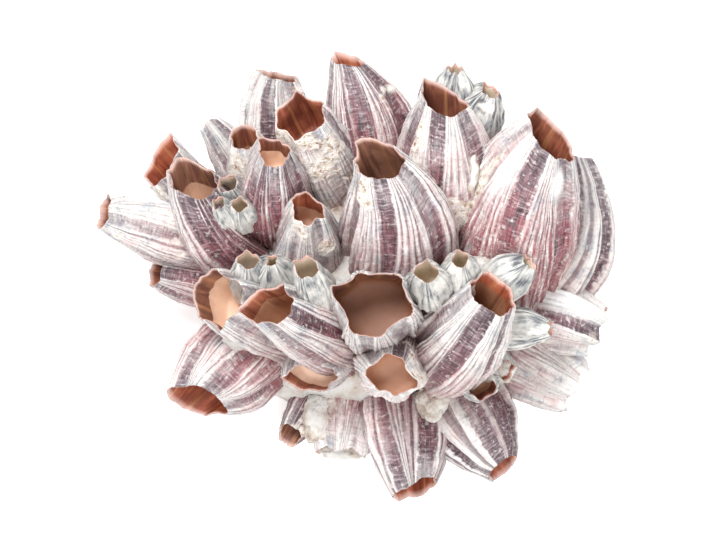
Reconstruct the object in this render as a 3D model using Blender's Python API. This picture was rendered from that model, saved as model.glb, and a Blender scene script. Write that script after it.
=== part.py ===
"""A cluster of purple acorn barnacles on a lump of old shell.

Each barnacle is a ribbed cup of six wall plates, cemented by its foot to the lump and to its neighbours.
Young grey barnacles sit on the walls of the grown ones. The lump is cut off flat underneath.
The frame has +Z up and its origin in the flat cut, at the middle of the cluster.
Lengths are in millimetres, and each mesh is turned into metres when it is made.
"""

import math
from dataclasses import dataclass

import bmesh
import bpy
from mathutils import Vector

METRES = 0.001
GAP = 0.35  # clearance between two shells that grew against each other
WELD = 0.01  # points closer than this are one point
KEPT_SHARE = 0.86  # share of a trimmed shell's triangles that stays when the slivers are collapsed

# The lump of old shell and cement that carries everything
LUMP_CENTRE = (2.0, -6.0, 0.0)
LUMP_HALF_SIZE = (57.0, 46.0, 55.0)
LUMP_ROUGHNESS = 1.6

# Walls of a grown barnacle and of a young one
PLATE_RISE = 0.05  # the middle of a plate stands this share of the radius proud
PLATE_HALF_WIDTH_FOOT = 0.40  # share of a plate's pitch, at the foot
PLATE_HALF_WIDTH_RIM = 0.24  # and at the rim, where the smooth bands between plates are wide
RIM_WALL = 1.3
CAVITY_TAPER = 0.72  # radius of the cavity's floor over its radius at the rim
BIG_RINGS = (0.0, 0.35, 0.7, 1.0)  # where the wall of a big shell has its rings, as shares of the height
SMALL_RINGS = (0.0, 0.55, 1.0)
BIG_BELLY = 13.3  # shells at least this wide in radius have the big shells' rings
COLUMNS_PER_PLATE = 3


@dataclass(frozen=True)
class Barnacle:
    """One shell. Points are (x, y, z) in mm; turns are in degrees round its axis."""

    name: str
    mouth: tuple  # centre of the opening
    foot: tuple  # centre of the base, inside what carries it
    mouth_r: float
    belly_r: float
    foot_r: float = 8.0
    belly_at: float = 0.45  # share of the height where the shell is widest
    bow: tuple = (0.0, 0.0, 0.0)  # how far the middle of the axis is pushed aside
    corners: int = 6  # corners of the opening
    corner_turn: float = 0.0
    squareness: float = 0.6  # 0 is a round opening, 1 a straight-sided one
    stretch: float = 1.0  # length of the opening along the corner turn over its width
    turn: float = 0.0  # where the first plate sits
    slant: float = 0.0  # rise of the rim on its high side
    slant_turn: float = 180.0  # 180 puts the high side at the back, so the opening faces the viewer
    tooth: float = 0.7  # how far each plate's tip stands above the rim
    depth: float = 0.5  # depth of the cavity over the height of the shell
    plates: int = 6
    tint: str = "mauve"


GROWN = (
    # The ones that face the viewer at the middle of the cluster
    Barnacle("wide_mouth_barnacle", (5, -10, 96), (6, -18, 44), 13.8, 15.6, 13, 0.5, corners=4,
             corner_turn=40, squareness=0.75, turn=20, slant=1.5, slant_turn=30, tint="pale"),
    Barnacle("lower_middle_barnacle", (12, -35, 85), (12, -26, 40), 10.2, 13.5, 12, 0.45, corners=4,
             corner_turn=5, squareness=0.7, turn=15, slant=-1.0, tint="pale"),
    Barnacle("right_middle_barnacle", (48, -7, 82), (29, -31, 38), 8.8, 15.0, 13, 0.4,
             bow=(-1, -3, 3), corners=5, squareness=0.3, turn=25, stretch=1.15, corner_turn=-40, tooth=0.4),
    Barnacle("left_middle_barnacle", (-33, -10, 80), (-4, -30, 40), 8.8, 13.0, 12, 0.35,
             bow=(0, -1, 4), corners=6, squareness=0.7, turn=0, stretch=1.15, corner_turn=90, slant=2.0),
    # The tall ones behind them
    Barnacle("centre_tall_barnacle", (8, 42, 82), (15, 0, 38), 9.0, 21.0, 17, 0.36,
             bow=(3, 0, 4), corners=5, corner_turn=20, turn=30, slant=3.5, tooth=1.2),
    Barnacle("egg_barnacle", (-31, 45, 70), (-30, 16, 36), 5.9, 12.4, 7, 0.42,
             corners=4, squareness=0.35, turn=10, slant=1.5, tooth=0.5),
    Barnacle("inner_left_barnacle", (-17, 25, 72), (-18, 2, 36), 6.8, 12.4, 11, 0.36,
             corners=5, turn=0, slant=1.5, tint="rose"),
    Barnacle("giant_barnacle", (68, 51, 60), (52, -2, 26), 10.6, 22.0, 18, 0.34,
             bow=(-2, 2, 4), corners=4, corner_turn=10, turn=20, slant=4.0, slant_turn=-120, tooth=1.2,
             tint="rose"),
    Barnacle("north_tall_barnacle", (31, 63, 58), (31, 18, 28), 8.8, 18.5, 14, 0.42,
             bow=(0, 0, 3), corners=5, corner_turn=30, turn=0, slant=3.0, tooth=1.2, tint="rose"),
    Barnacle("diamond_barnacle", (-20, 58, 58), (-7, 30, 26), 8.8, 12.5, 12, 0.45,
             corners=4, corner_turn=0, squareness=0.8, turn=40, slant=2.0, tooth=1.0, tint="pale"),
    Barnacle("open_left_barnacle", (-49, -9, 64), (-24, -18, 30), 10.6, 13.4, 13, 0.45,
             corners=5, corner_turn=70, squareness=0.75, turn=0),
    Barnacle("dark_striped_barnacle", (-59, 35, 54), (-38, 6, 26), 9.2, 14.0, 13, 0.42,
             bow=(-2, -2, 2), corners=5, squareness=0.5, turn=15, slant=2.0, tint="plum"),
    Barnacle("downward_barnacle", (-17, -39, 50), (-7, -20, 28), 9.6, 11.5, 11, 0.5,
             corners=4, corner_turn=50, squareness=0.7, turn=0, slant=1.0, tint="pale"),
    # The outer ring, which leans outwards
    Barnacle("peak_barnacle", (-4, 78, 38), (13, 28, 20), 6.6, 14.0, 12, 0.45,
             bow=(5, -1, 2), corners=5, corner_turn=15, turn=0, slant=2.5, tooth=0.8),
    Barnacle("left_peak_barnacle", (-27, 71, 34), (-17, 30, 20), 8.6, 12.0, 11, 0.45,
             bow=(-3, 0, 1), corners=6, squareness=0.8, turn=30, slant=2.0, slant_turn=150, tooth=1.2),
    Barnacle("grey_shouldered_barnacle", (-41, 50, 44), (-33, 20, 22), 5.6, 10.6, 10, 0.45,
             corners=5, turn=0, slant=1.0, tint="pale"),
    Barnacle("torn_left_barnacle", (-71, 42, 38), (-47, 18, 20), 8.4, 10.4, 10, 0.5,
             corners=4, corner_turn=60, squareness=0.7, turn=0, slant=3.0, slant_turn=60),
    Barnacle("left_barnacle", (-91, 22, 29), (-48, 12, 20), 6.6, 13.2, 12, 0.45,
             bow=(0, 1, 2), corners=4, corner_turn=45, squareness=0.6, turn=20, slant=1.0, slant_turn=0,
             tooth=1.5, tint="pale"),
    Barnacle("low_left_barnacle", (-73, -1, 22), (-42, -9, 16), 6.4, 9.8, 9, 0.45,
             corners=6, turn=30, slant=1.0, slant_turn=0, tint="rose"),
    Barnacle("bottom_left_barnacle", (-58, -45, 32), (-32, -19, 20), 9.4, 15.4, 13, 0.4,
             bow=(-1, -1, 3), corners=4, corner_turn=80, squareness=0.6, turn=30, slant=3.0),
    Barnacle("bottom_barnacle", (21, -76, 28), (16, -36, 18), 8.2, 14.2, 13, 0.45,
             bow=(0, 0, 3), corners=5, squareness=0.4, turn=30, slant=3.5, tooth=0.5),
    Barnacle("bottom_right_barnacle", (52, -68, 26), (31, -36, 18), 6.6, 14.8, 13, 0.4,
             bow=(0, -1, 3), corners=5, squareness=0.4, turn=0, slant=2.5, tooth=0.4),
    Barnacle("broken_wall_barnacle", (-6, -64, 20), (-3, -36, 14), 9.0, 11.0, 10, 0.5,
             corners=6, turn=0, tooth=1.4, tint="rose"),
    Barnacle("right_fan_barnacle", (85, -22, 26), (52, -14, 18), 8.2, 12.6, 12, 0.45,
             bow=(0, 2, 3), corners=6, turn=0, tooth=1.8, tint="pale"),
    Barnacle("lower_right_fan_barnacle", (75, -47, 20), (46, -24, 16), 7.6, 12.0, 11, 0.45,
             corners=6, turn=30, tooth=1.6, tint="pale"),
    Barnacle("far_right_barnacle", (79, 42, 26), (58, -10, 18), 7.0, 15.0, 13, 0.45,
             bow=(9, -6, 0), corners=5, turn=30),
    Barnacle("hidden_left_barnacle", (-53, 54, 27), (-35, 30, 18), 4.6, 8.4, 8, 0.45,
             corners=5, turn=0),
    Barnacle("brown_tip_barnacle", (-25, -58, 18), (-12, -38, 14), 3.6, 7.4, 7, 0.45,
             corners=5, turn=0, slant=1.0, slant_turn=0, tooth=1.0, tint="plum"),
)


def young(name, mouth, foot, mouth_r, belly_r, **more):
    """A young grey barnacle: four toothed plates on a short cone."""
    return Barnacle(name, mouth, foot, mouth_r, belly_r, foot_r=0.85 * belly_r, belly_at=0.25, plates=4,
                    corners=4, squareness=0.5, tint="grey", **{"tooth": 1.4, "depth": 0.6, **more})


YOUNG = (
    young("young_barnacle_back_a", (38, 75, 46), (35, 58, 38), 3.0, 6.4, tooth=1.8),
    young("young_barnacle_back_b", (50, 67, 46), (40, 54, 38), 3.4, 7.0, turn=45, tooth=1.2),
    young("young_barnacle_notch", (-47, 33, 58), (-43, 26, 42), 3.6, 5.4, turn=20),
    young("young_barnacle_pearl_a", (-43, 26, 66), (-40, 20, 50), 3.0, 5.2),
    young("young_barnacle_pearl_b", (-50, 26, 63), (-46, 19, 50), 2.4, 4.6, turn=30),
    young("young_barnacle_left_a", (-42, 5, 64), (-38, -6, 46), 4.4, 7.0),
    young("young_barnacle_left_b", (-31, 7, 66), (-28, -4, 48), 3.0, 7.6, turn=30, tooth=0.8),
    young("young_barnacle_middle", (-16, 2, 82), (-12, -14, 60), 4.6, 7.6, turn=45, tooth=2.2),
    young("young_barnacle_right_a", (24, 2, 90), (24, -10, 70), 4.6, 7.6, tooth=1.6),
    young("young_barnacle_right_b", (37, 7, 82), (36, -4, 66), 3.2, 6.4, turn=20),
    young("young_barnacle_slope", (61, 5, 68), (48, -4, 60), 3.2, 7.6, turn=10),
    young("young_barnacle_shelf", (69, -19, 58), (50, -19, 54), 3.8, 7.4, turn=45),
    young("young_barnacle_crushed", (47, -39, 58), (42, -34, 42), 5.4, 7.4, tooth=0.8),
    young("young_barnacle_ledge", (54, -34, 52), (44, -29, 42), 4.0, 6.8, turn=45),
)

# Colour and roughness of each kind of shell, as linear RGB
TINTS = {
    "mauve": ((0.42, 0.30, 0.36), 0.6),
    "plum": ((0.22, 0.12, 0.16), 0.6),
    "rose": ((0.52, 0.30, 0.33), 0.65),
    "pale": ((0.68, 0.60, 0.61), 0.65),
    "grey": ((0.50, 0.52, 0.53), 0.5),
    "cement": ((0.62, 0.57, 0.50), 0.85),
}


def axis_point(shell, share):
    """The axis at a share of the height: a quadratic curve whose middle is pushed aside by the bow."""
    foot, mouth, bow = Vector(shell.foot), Vector(shell.mouth), Vector(shell.bow)
    return foot.lerp(mouth, share) + bow * (4 * share * (1 - share))


def straight_up(shell):
    """Whether the shell points up so nearly that its near side has to be taken from +Y."""
    rise = Vector(shell.mouth) - Vector(shell.foot)
    return rise.z > 0.9 * rise.length


def axis_frame(shell, share):
    """(towards the viewer's side, sideways, along the axis), three unit vectors at a share of the height."""
    along = Vector(shell.mouth) - Vector(shell.foot) + Vector(shell.bow) * (4 * (1 - 2 * share))
    along.normalize()
    reference = Vector((0, 1, 0)) if straight_up(shell) else Vector((0, 0, 1))
    near = (reference - along * reference.dot(along)).normalized()
    return near, along.cross(near), along


def profile(shell, share):
    """Radius of the wall at a share of the height, foot to belly to mouth."""
    if share < shell.belly_at:
        away = (shell.belly_at - share) / shell.belly_at
        return shell.belly_r - (shell.belly_r - shell.foot_r) * away**2
    away = (share - shell.belly_at) / (1 - shell.belly_at)
    return shell.belly_r - (shell.belly_r - shell.mouth_r) * away**1.7


def opening_shape(shell, angle):
    """Radius of the opening at an angle over its mean radius: a stretched polygon with soft corners."""
    pitch = 2 * math.pi / shell.corners
    local = (angle - math.radians(shell.corner_turn)) % pitch - pitch / 2
    polygon = math.cos(pitch / 2) / math.cos(local) * 1.08
    long_way = math.cos(angle - math.radians(shell.corner_turn)) ** 2
    return (1 + shell.squareness * (polygon - 1)) * (1 + (shell.stretch - 1) * (2 * long_way - 1) / 2)


def rim_rise(shell, angle, middle):
    """How far the rim stands above the mouth's centre, along the axis."""
    slant = shell.slant * math.cos(angle - math.radians(shell.slant_turn))
    return slant + shell.tooth * (1.0 if middle else -0.5)


def wall_point(shell, share, angle, middle, size, drop):
    """One point at an angle round the axis, at a mean radius before the opening's shape is put on."""
    near, sideways, along = axis_frame(shell, share)
    lift = rim_rise(shell, angle, middle) * share**2 - drop
    return axis_point(shell, share) + (near * math.cos(angle) + sideways * math.sin(angle)) * size + along * lift


def wall_ring(shell, share, shrink=0.0, drop=0.0):
    """Points round the wall at a share of the height, three for each plate.

    shrink is taken off the radius and drop off the height along the axis.
    """
    half_width = PLATE_HALF_WIDTH_FOOT + (PLATE_HALF_WIDTH_RIM - PLATE_HALF_WIDTH_FOOT) * share
    points = []
    for column in range(shell.plates * COLUMNS_PER_PLATE):
        plate, part = divmod(column, COLUMNS_PER_PLATE)
        middle = part == 1
        turns = (plate + (part - 1) * half_width) / shell.plates
        angle = 2 * math.pi * turns + math.radians(shell.turn)
        shaped = 1 + share**2 * (opening_shape(shell, angle) - 1)
        size = profile(shell, share) * shaped * (1 + PLATE_RISE * middle) - shrink
        points.append(wall_point(shell, share, angle, middle, size, drop))
    return points


def ring_shares(shell):
    return BIG_RINGS if shell.belly_r >= BIG_BELLY else SMALL_RINGS


def floor_ring(shell):
    """Points round the cavity's floor, one for each plate."""
    size = (shell.mouth_r - RIM_WALL) * CAVITY_TAPER
    points = []
    for plate in range(shell.plates):
        angle = 2 * math.pi * plate / shell.plates + math.radians(shell.turn)
        points.append(wall_point(shell, 1 - shell.depth, angle, False, size, 0.0))
    return points


def band(mesh, low, high):
    """Faces between two loops; the upper one has as many points or a third of them."""
    count = len(low)
    step = count // len(high)
    for i in range(count):
        j = (i + 1) % count
        above = high[i // step]
        next_above = high[j // step]
        corners = (low[i], low[j], above) if above is next_above else (low[i], low[j], next_above, above)
        mesh.faces.new(corners)


def loft(rings):
    """A closed mesh through rings of points, with one face over the first ring and one over the last."""
    mesh = bmesh.new()
    loops = [[mesh.verts.new(point * METRES) for point in ring] for ring in rings]
    for low, high in zip(loops, loops[1:]):
        band(mesh, low, high)
    mesh.faces.new(reversed(loops[0]))
    mesh.faces.new(loops[-1])
    bmesh.ops.recalc_face_normals(mesh, faces=mesh.faces)
    bmesh.ops.triangulate(mesh, faces=mesh.faces)
    return mesh


def cup(shell):
    """The shell itself: up the outside, over the rim, and down a tapering cavity to its floor."""
    rings = ring_shares(shell)
    outside = [wall_ring(shell, share) for share in rings]
    rim_inside = wall_ring(shell, 1.0, shrink=RIM_WALL, drop=0.3)
    # The plates' middles are the second of each three points, and the floor has one point under each
    return loft([*outside, rim_inside, floor_ring(shell)])


def filled(shell):
    """The space that the shell takes, cavity included, grown by the gap: what is cut from its neighbours."""
    rings = ring_shares(shell)
    outside = [wall_ring(shell, share, shrink=-GAP) for share in rings]
    outside[0] = wall_ring(shell, 0.0, shrink=-GAP, drop=GAP)
    outside[-1] = wall_ring(shell, 1.0, shrink=-GAP, drop=-GAP)
    return loft(outside)


def lump(grow=0.0):
    """The carrying lump: half a rough ellipsoid, cut off flat at the bottom."""
    mesh = bmesh.new()
    bmesh.ops.create_icosphere(mesh, subdivisions=2, radius=1.0)
    for vert in mesh.verts:
        way = vert.co.normalized()
        waves = math.sin(5 * way.x + 1) * math.cos(4 * way.y) + math.sin(6 * way.z + 3 * way.x)
        bump = LUMP_ROUGHNESS * 0.5 * waves + grow
        sized = Vector(way[i] * LUMP_HALF_SIZE[i] for i in range(3)) + way * bump
        vert.co = (sized + Vector(LUMP_CENTRE)) * METRES
    geometry = mesh.verts[:] + mesh.edges[:] + mesh.faces[:]
    cut = bmesh.ops.bisect_plane(mesh, geom=geometry, plane_co=(0, 0, -grow * METRES), plane_no=(0, 0, -1),
                                 clear_outer=True)
    edges = [item for item in cut["geom_cut"] if isinstance(item, bmesh.types.BMEdge)]
    bmesh.ops.contextual_create(mesh, geom=edges)
    bmesh.ops.recalc_face_normals(mesh, faces=mesh.faces)
    bmesh.ops.triangulate(mesh, faces=mesh.faces)
    return mesh


def collection_named(name):
    found = bpy.data.collections.new(name)
    bpy.context.scene.collection.children.link(found)
    return found


def object_from(mesh, name, collection):
    data = bpy.data.meshes.new(name)
    mesh.to_mesh(data)
    mesh.free()
    made = bpy.data.objects.new(name, data)
    collection.objects.link(made)
    return made


def cutter_from(mesh, name, collection):
    made = object_from(mesh, name, collection)
    made.hide_render = True
    made.display_type = "WIRE"
    return made


def boxes_meet(first, second):
    """Whether the bounding boxes of two objects at rest in the world overlap."""
    spans = []
    for obj in (first, second):
        corners = [Vector(corner) for corner in obj.bound_box]
        spans.append([(min(c[i] for c in corners), max(c[i] for c in corners)) for i in range(3)])
    return all(a[0] < b[1] and b[0] < a[1] for a, b in zip(*spans))


def keep_largest_body(mesh):
    """Deletes all but the largest connected piece of a bmesh, measured by its volume."""
    unseen = set(mesh.verts)
    bodies = []
    while unseen:
        front = [unseen.pop()]
        body = set(front)
        while front:
            for edge in front.pop().link_edges:
                fresh = [vert for vert in edge.verts if vert in unseen]
                unseen.difference_update(fresh)
                body.update(fresh)
                front.extend(fresh)
        bodies.append(body)

    def volume(body):
        faces = {face for vert in body for face in vert.link_faces}
        return abs(sum(f.verts[0].co.dot(f.verts[1].co.cross(f.verts[2].co)) for f in faces))

    bodies.sort(key=volume)
    spare = [vert for body in bodies[:-1] for vert in body]
    bmesh.ops.delete(mesh, geom=spare, context="VERTS")


def trim(obj, cutters):
    """Cuts the neighbours' space out of an object and keeps its largest body."""
    for cutter in cutters:
        if boxes_meet(obj, cutter):
            boolean = obj.modifiers.new(cutter.name, "BOOLEAN")
            boolean.operation = "DIFFERENCE"
            boolean.object = cutter
    graph = bpy.context.evaluated_depsgraph_get()
    mesh = bmesh.new()
    mesh.from_object(obj, graph)
    bmesh.ops.remove_doubles(mesh, verts=mesh.verts, dist=WELD * METRES)
    bmesh.ops.dissolve_degenerate(mesh, edges=mesh.edges, dist=WELD * METRES)
    bmesh.ops.triangulate(mesh, faces=mesh.faces)
    keep_largest_body(mesh)
    obj.modifiers.clear()
    mesh.to_mesh(obj.data)
    mesh.free()
    simplify(obj)


def simplify(obj):
    """Collapses the slivers that the cuts leave, up to a set share of the triangles."""
    decimate = obj.modifiers.new("slivers", "DECIMATE")
    decimate.ratio = KEPT_SHARE
    graph = bpy.context.evaluated_depsgraph_get()
    simpler = bpy.data.meshes.new_from_object(obj.evaluated_get(graph))
    obj.modifiers.clear()
    obj.data = simpler


def finish(obj, tint):
    """Gives an object its own material, and smooth shading with the plates' edges kept sharp."""
    colour, roughness = TINTS[tint]
    material = bpy.data.materials.new(obj.name)
    material.use_nodes = True
    shader = material.node_tree.nodes["Principled BSDF"]
    shader.inputs["Base Color"].default_value = (*colour, 1.0)
    shader.inputs["Roughness"].default_value = roughness
    shader.inputs["Metallic"].default_value = 0.0
    obj.data.materials.append(material)
    obj.data.shade_smooth()
    obj.data.set_sharp_from_angle(angle=math.radians(30))


def build():
    for obj in list(bpy.data.objects):
        bpy.data.objects.remove(obj)
    parts = collection_named("barnacle_cluster")
    spaces = collection_named("cutters")

    carrier = object_from(lump(), "old_shell_lump", parts)
    finish(carrier, "cement")
    cutters = [cutter_from(lump(GAP), "space_lump", spaces)]
    for shell in GROWN + YOUNG:
        obj = object_from(cup(shell), shell.name, parts)
        bpy.context.view_layer.update()
        trim(obj, cutters)
        finish(obj, shell.tint)
        cutters.append(cutter_from(filled(shell), "space_" + shell.name, spaces))


build()
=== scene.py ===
import math
from dataclasses import dataclass

import bpy
import numpy as np
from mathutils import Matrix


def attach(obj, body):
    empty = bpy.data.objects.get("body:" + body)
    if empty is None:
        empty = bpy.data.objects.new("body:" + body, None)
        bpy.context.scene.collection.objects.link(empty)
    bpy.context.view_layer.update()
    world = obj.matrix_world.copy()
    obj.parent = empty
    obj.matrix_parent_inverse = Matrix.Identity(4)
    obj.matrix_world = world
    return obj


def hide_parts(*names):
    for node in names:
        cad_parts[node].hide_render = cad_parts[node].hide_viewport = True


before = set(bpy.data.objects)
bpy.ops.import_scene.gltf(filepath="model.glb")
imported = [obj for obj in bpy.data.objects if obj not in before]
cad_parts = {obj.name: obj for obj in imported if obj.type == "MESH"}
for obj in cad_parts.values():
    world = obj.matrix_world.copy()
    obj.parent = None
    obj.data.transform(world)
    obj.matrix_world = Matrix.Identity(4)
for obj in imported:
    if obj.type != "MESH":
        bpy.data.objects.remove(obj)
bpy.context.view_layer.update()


# Old shell and cement under the living layer. It is chalky calcite, what is left of dead shells and of the
# plates they were glued down with. The cluster was taken off its rock with a flat cut, where the dead shells'
# bases show as rings of growth lines.
def linear(hex_colour):
    """An sRGB hex colour such as F4F0EE as linear RGBA."""
    srgb = np.array([int(hex_colour[i : i + 2], 16) for i in (0, 2, 4)]) / 255
    rgb = np.where(srgb <= 0.04045, srgb / 12.92, ((srgb + 0.055) / 1.055) ** 2.4)
    return (*rgb.tolist(), 1.0)


def add(material, kind, inputs=(), out=0, stops=(), **settings):
    """Adds a shader node with its settings and returns one of its outputs.

    inputs maps a socket to its value or to the socket that feeds it. stops are a colour ramp's positions and
    hex colours.
    """
    node = material.node_tree.nodes.new("ShaderNode" + kind)
    for number, (position, colour) in enumerate(stops):
        elements = node.color_ramp.elements
        ends = {0: 0, len(stops) - 1: -1}
        stop = elements[ends[number]] if number in ends else elements.new(position)
        stop.position = position
        stop.color = linear(colour)
    for name, value in settings.items():
        setattr(node, name, value)
    for name, value in dict(inputs).items():
        if isinstance(value, bpy.types.NodeSocket):
            material.node_tree.links.new(value, node.inputs[name])
        else:
            node.inputs[name].default_value = value
    return node.outputs[out] if len(node.outputs) else node


def new_material(name):
    """A material with no nodes in it yet."""
    material = bpy.data.materials.new(name)
    material.use_nodes = True
    material.node_tree.nodes.clear()
    return material


def grain(points, size, seed):
    """Value noise from -1 to 1: random values on a lattice of that size in mm, blended with smooth steps."""
    lattice = np.random.default_rng(seed).uniform(-1, 1, (24, 24, 24))
    place = points / size + 1000
    corner = np.floor(place).astype(int)
    part = place - corner
    part = part * part * (3 - 2 * part)
    total = 0.0
    for step in np.ndindex(2, 2, 2):
        weight = np.prod(np.abs(1 - np.array(step) - part), axis=-1)
        index = (corner + step) % 24
        total = total + weight * lattice[index[..., 0], index[..., 1], index[..., 2]]
    return total


def closed_piece(name, points, paint, across, up, materials, inside_from):
    """A closed mesh through a grid of points in mm, whose rows go up the piece and whose columns go round it.

    Columns join up, and the first and the last row close on a point at their middle. paint holds eight values
    for each point, which go to the attributes wall and cover. across and up are the UV map's two coordinates,
    with one column more than the points. Faces from row inside_from on take the second material.
    """
    rows, columns = points.shape[:2]
    poles = np.array([points[0].mean(axis=0), points[-1].mean(axis=0)])
    verts = np.concatenate([points.reshape(-1, 3), poles]) * 0.001
    values = np.concatenate([paint.reshape(-1, 8), [paint[0].mean(axis=0), paint[-1].mean(axis=0)]])
    row, column = (part.ravel() for part in np.mgrid[0 : rows - 1, 0:columns])
    beside = (column + 1) % columns
    low, high = row * columns, (row + 1) * columns
    quads = np.stack([low + column, low + beside, high + beside, high + column], axis=1)
    ring = np.arange(columns)
    next_in_ring = (ring + 1) % columns
    foot_fan = np.stack([np.full(columns, rows * columns), next_in_ring, ring], axis=1)
    last = (rows - 1) * columns
    end_fan = np.stack([np.full(columns, rows * columns + 1), last + ring, last + next_in_ring], axis=1)
    mesh = bpy.data.meshes.new(name)
    mesh.from_pydata(verts.tolist(), [], quads.tolist() + foot_fan.tolist() + end_fan.tolist())

    grid_uv = np.stack([across, up], axis=-1)
    quad_uv = np.stack([grid_uv[row, column], grid_uv[row, column + 1], grid_uv[row + 1, column + 1],
                        grid_uv[row + 1, column]], axis=1)
    foot_uv = np.stack([(grid_uv[0, :-1] + grid_uv[0, 1:]) / 2, grid_uv[0, 1:], grid_uv[0, :-1]], axis=1)
    end_uv = np.stack([(grid_uv[-1, :-1] + grid_uv[-1, 1:]) / 2, grid_uv[-1, :-1], grid_uv[-1, 1:]], axis=1)
    uv = mesh.uv_layers.new(name="along the wall")
    corners_uv = [part.reshape(-1, 2) for part in (quad_uv, foot_uv, end_uv)]
    uv.data.foreach_set("uv", np.concatenate(corners_uv).ravel())
    for first, attribute in ((0, "wall"), (4, "cover")):
        layer = mesh.attributes.new(attribute, "FLOAT_COLOR", "POINT")
        layer.data.foreach_set("color", values[:, first : first + 4].ravel())
    for material in materials:
        mesh.materials.append(material)
    inside = np.concatenate([row >= inside_from, np.zeros(columns, bool), np.ones(columns, bool)])
    mesh.polygons.foreach_set("material_index", (inside & (len(materials) > 1)).astype(np.int32))
    mesh.polygons.foreach_set("use_smooth", np.ones(len(mesh.polygons), bool))
    mesh.validate()
    piece = bpy.data.objects.new(name, mesh)
    bpy.context.scene.collection.objects.link(piece)
    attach(piece, "root")
    return piece


LUMP_CENTRE = np.array([2.0, -6.0, 0.0])
LUMP_HALF_SIZE = np.array([57.0, 46.0, 55.0])
LUMP_ROWS = 90
LUMP_COLUMNS = 220

# Chalk white with cream and rust-brown stains, rough everywhere
cement = new_material("chalky shell cement")
place = add(cement, "TexCoord", out=3)
# Stains about 9 mm across
stain = add(cement, "TexNoise", {"Vector": place, "Scale": 110.0, "Detail": 6.0, "Roughness": 0.62})
tone = add(cement, "ValToRGB", {"Fac": stain}, stops=((0.30, "A3897A"), (0.42, "DCD0C4"), (0.56, "F1EEE9")))
# On the cut, bases about 22 mm across with growth rings 1.5 mm apart
x_y_z = add(cement, "SeparateXYZ", {"Vector": place}).node.outputs
cut = add(cement, "MapRange", {0: x_y_z["Z"], 1: 0.0006, 2: 0.0001})
from_middle = add(cement, "TexVoronoi", {"Vector": place, "Scale": 45.0})
rings = add(cement, "Math", {0: from_middle, 1: 94.0}, operation="MULTIPLY")
rings = add(cement, "Math", {0: rings}, operation="SINE")
rings = add(cement, "MapRange", {0: rings, 1: -1.0, 2: 1.0})
bases = add(cement, "ValToRGB", {"Fac": rings}, stops=((0.0, "B7A290"), (0.5, "DDD2C4"), (1.0, "EEE8DF")))
gap = add(cement, "TexVoronoi", {"Vector": place, "Scale": 45.0}, feature="DISTANCE_TO_EDGE")
gap = add(cement, "MapRange", {0: gap, 1: 0.05, 2: 0.01})
bases = add(cement, "Mix", {0: gap, 6: bases, 7: linear("8A6F60")}, 2, data_type="RGBA")
cut = add(cement, "Math", {0: cut, 1: 0.8}, operation="MULTIPLY")
tone = add(cement, "Mix", {0: cut, 6: tone, 7: bases}, 2, data_type="RGBA")
# Grit about 1 mm across
grit = add(cement, "TexNoise", {"Vector": place, "Scale": 900.0, "Detail": 5.0, "Roughness": 0.7})
relief = add(cement, "Bump", {"Height": grit, "Strength": 1.0, "Distance": 0.0014})
chalk = add(cement, "BsdfPrincipled", {"Base Color": tone, "Roughness": 0.9, "Normal": relief})
add(cement, "OutputMaterial", {"Surface": chalk})


def lump_surface(rows, columns):
    """Half an ellipsoid, pushed outwards by noise of three sizes in mm. Row 0 is the edge of the flat cut."""
    rise, turn = np.meshgrid(np.linspace(0, 0.49 * np.pi, rows), np.linspace(0, 2 * np.pi, columns + 1)[:-1],
                             indexing="ij")
    way = np.stack([np.cos(rise) * np.cos(turn), np.cos(rise) * np.sin(turn), np.sin(rise)], axis=-1)
    base = way * LUMP_HALF_SIZE
    bump = 1.6 * grain(base, 14, 1) + 1.1 * grain(base, 6, 2) + 0.5 * grain(base, 2.2, 3)
    points = base + LUMP_CENTRE + way * bump[..., None]
    points[..., 2] = np.maximum(points[..., 2], 0)
    points[0, :, 2] = 0
    return points


lump_uv = np.zeros((LUMP_ROWS, LUMP_COLUMNS + 1))
lump_paint = np.zeros((LUMP_ROWS, LUMP_COLUMNS, 8))
lump = closed_piece("lump_of_old_shell", lump_surface(LUMP_ROWS, LUMP_COLUMNS), lump_paint, lump_uv, lump_uv,
                    [cement], LUMP_ROWS)
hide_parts("old_shell_lump")


# Grown barnacles that face the viewer. Each wall is six calcite plates, ribbed lengthwise and white, joined
# by smooth sunken bands of dusty purple that are widest at the mouth. The lining is satin brown. The shells
# grew pressed together, so each foot runs into the lump or a neighbour.
@dataclass(frozen=True)
class Barnacle:
    """One shell. Points are (x, y, z) in mm, radii in mm, and turns in degrees round its axis.

    A turn of 0 is the side that faces the viewer, or on a shell that points at the viewer, the upper side in
    the photo. A turn of 90 is on the right of someone looking up the shell.
    """

    name: str
    slot: str
    mouth: tuple
    foot: tuple
    belly_r: float
    foot_r: float
    rim: tuple = ()  # corners of the opening: turn, radius and height along the axis
    outline: tuple = ()  # or its corners as the photo's camera sees them, in pixels of the photo
    own_tilt: float = 0.5  # how far the opening keeps the tilt that its outline shows, against the axis's
    belly_at: float = 0.45
    bow: tuple = (0.0, 0.0, 0.0)
    turn: float = 0.0  # where the first plate is
    depth: float = 0.5  # of the hollow, as a share of the shell's length
    plates: int = 6
    ribs: int = 5
    ridge: float = 0.7  # below 1 the grooves are narrow, above 1 the ribs are
    bands: tuple = (0.6,)  # how purple each band is
    panels: tuple = (0.5,)  # how purple the grooves of each plate are
    blush: float = 0.3  # how rose-red the lower wall is
    chalk: float = 0.25  # how much of it is chalky
    white: tuple = ()  # clean white patches: turn, height, and half their width in degrees and height
    crust: tuple = ()  # patches of chalk, given the same way
    sheath: float = 9.0  # how far down the dark part of the lining goes, in mm
    warmth: float = 0.5  # how red the dark part is
    # The paleness below the sheath is partly painted light on the floor of the hollow
    light: float = 0.5  # how pale the lining is below it
    lean: tuple = (0.0, 0.0)  # how far the floor of the hollow is to the side, in mm


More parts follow.
